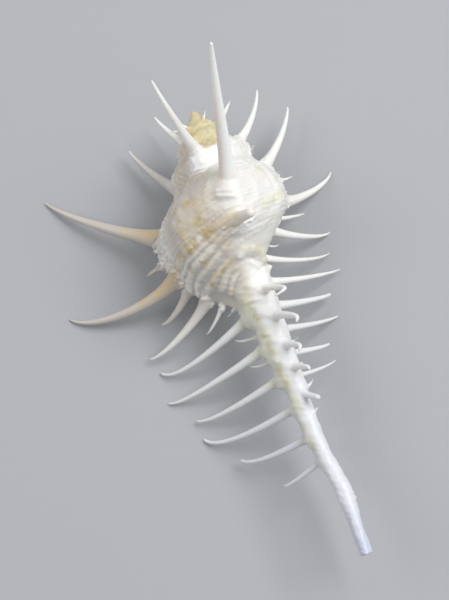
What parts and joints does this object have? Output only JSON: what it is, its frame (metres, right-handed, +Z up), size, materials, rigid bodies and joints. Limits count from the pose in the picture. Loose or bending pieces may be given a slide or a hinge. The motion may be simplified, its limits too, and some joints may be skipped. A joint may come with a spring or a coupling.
{
  "type": "murex shell",
  "caption": "Spiny sea snail shell with a short spire, rounded whorls, rows of long curved spines and a straight siphonal canal, lying on its aperture.",
  "frame": {"origin": "middle of the underside of the bounding box, on the surface the shell lies on", "axes": "+Y along the shell's axis from the end of the canal towards the apex, +Z up and away from the aperture, +X to the right as seen from above"},
  "size_m": [0.056, 0.0922, 0.0461],
  "materials": {
    "shell": "white calcareous shell, satin outside, smooth inside the aperture"
  },
  "bodies": {
    "root": {"murex_shell": "shell"}
  },
  "joints": []
}
